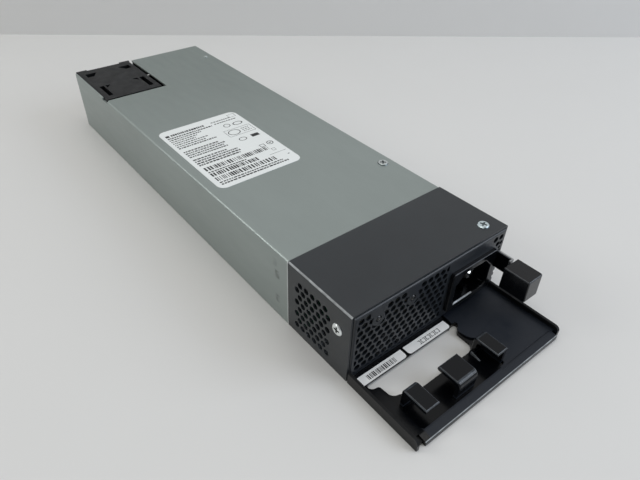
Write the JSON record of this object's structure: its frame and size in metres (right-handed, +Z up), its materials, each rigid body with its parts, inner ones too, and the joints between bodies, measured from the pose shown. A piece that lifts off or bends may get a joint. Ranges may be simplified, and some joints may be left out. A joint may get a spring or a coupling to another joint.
{
  "type": "hot swap server power supply",
  "caption": "Flat hot swap server power supply: steel case, perforated dark front with an AC inlet, release latch, cord retainer tray and rear corner fans.",
  "frame": {"origin": "on the underside, mid-width, in the plane of the front edge of the case", "axes": "+X to the right as seen from the front, +Y from the front towards the rear connector, +Z up"},
  "size_m": [0.1013, 0.3449, 0.0408],
  "materials": {
    "plated_steel": "satin",
    "dark_paint": "satin",
    "tray_plastic": "satin",
    "inlet_plastic": "satin",
    "fan_plastic": "matte",
    "contact_metal": "polished",
    "gold_contact": "polished",
    "connector_plastic": "satin",
    "zinc_screw": "polished",
    "spring_steel": "satin",
    "light_pipe": "gloss",
    "led_body": "gloss",
    "circuit_board": "satin",
    "film": "satin",
    "standoff_brass": "satin",
    "ferrite": "matte",
    "copper_winding": "satin",
    "taped_winding": "satin",
    "film_capacitor": "satin",
    "disc_capacitor": "satin",
    "thermistor": "satin",
    "fuse_body": "satin",
    "relay_case": "satin",
    "device_epoxy": "matte",
    "heatsink": "satin",
    "capacitor_can": "satin",
    "busbar": "satin",
    "bearing_steel": "polished",
    "cable": "satin",
    "label": "satin"
  },
  "bodies": {
    "chassis": {"case_base": "plated_steel", "case_cover": "plated_steel", "front_sleeve": "dark_paint", "front_panel": "dark_paint", "cord_retainer": "tray_plastic", "inlet_shell": "inlet_plastic", "fan_front_frame": "fan_plastic", "fan_rear_frame": "fan_plastic", "inlet_pins": "contact_metal", "output_contacts": "gold_contact", "signal_pins": "gold_contact", "output_connector": "connector_plastic", "control_header": "connector_plastic", "case_screws": "zinc_screw", "tray_screws": "zinc_screw", "board_screws": "zinc_screw", "case_rivets": "zinc_screw", "latch_rivets": "zinc_screw", "latch_spring_root": "spring_steel", "light_pipes": "light_pipe", "indicator_leds": "led_body", "main_board": "circuit_board", "indicator_board": "circuit_board", "inlet_board": "circuit_board", "control_board": "circuit_board", "insulation_sheet": "film", "board_standoffs": "standoff_brass", "filter_choke_core": "ferrite", "pfc_inductor_core": "ferrite", "transformer_core": "ferrite", "output_inductor_core": "ferrite", "filter_choke_winding": "copper_winding", "pfc_inductor_winding": "copper_winding", "output_inductor_winding": "copper_winding", "fan_front_stator": "copper_winding", "fan_rear_stator": "copper_winding", "transformer_winding": "taped_winding", "standby_transformer": "taped_winding", "x_capacitors": "film_capacitor", "y_capacitors": "disc_capacitor", "inrush_thermistor": "thermistor", "input_fuse": "fuse_body", "inrush_relay": "relay_case", "bridge_rectifier": "device_epoxy", "primary_transistors": "device_epoxy", "rectifier_transistors": "device_epoxy", "bridge_heatsink": "heatsink", "primary_heatsink": "heatsink", "secondary_heatsink": "heatsink", "bulk_capacitors": "capacitor_can", "output_capacitors": "capacitor_can", "output_busbars": "busbar", "fan_bearings": "bearing_steel", "fan_cable": "cable", "top_label": "label", "strip_labels": "label"},
    "latch": {"latch_leaf": "spring_steel", "thumb_latch": "tray_plastic"},
    "front_rotor": {"fan_front_rotor": "fan_plastic"},
    "rear_rotor": {"fan_rear_rotor": "fan_plastic"}
  },
  "joints": [
    {"name": "latch_flex", "type": "hinge", "parent": "chassis", "child": "latch", "pos_m": [0.0471, 0.06, 0.0219], "axis": [0, 0, -1], "range_deg": [0, 1.9], "stiffness_Nm_per_rad": 3},
    {"name": "front_fan_spin", "type": "hinge", "parent": "chassis", "child": "front_rotor", "pos_m": [-0.0277, 0.2564, 0.02005], "axis": [0, 1, 0], "continuous": true},
    {"name": "rear_fan_spin", "type": "hinge", "parent": "chassis", "child": "rear_rotor", "pos_m": [-0.0277, 0.2876, 0.02005], "axis": [0, 1, 0], "continuous": true}
  ]
}
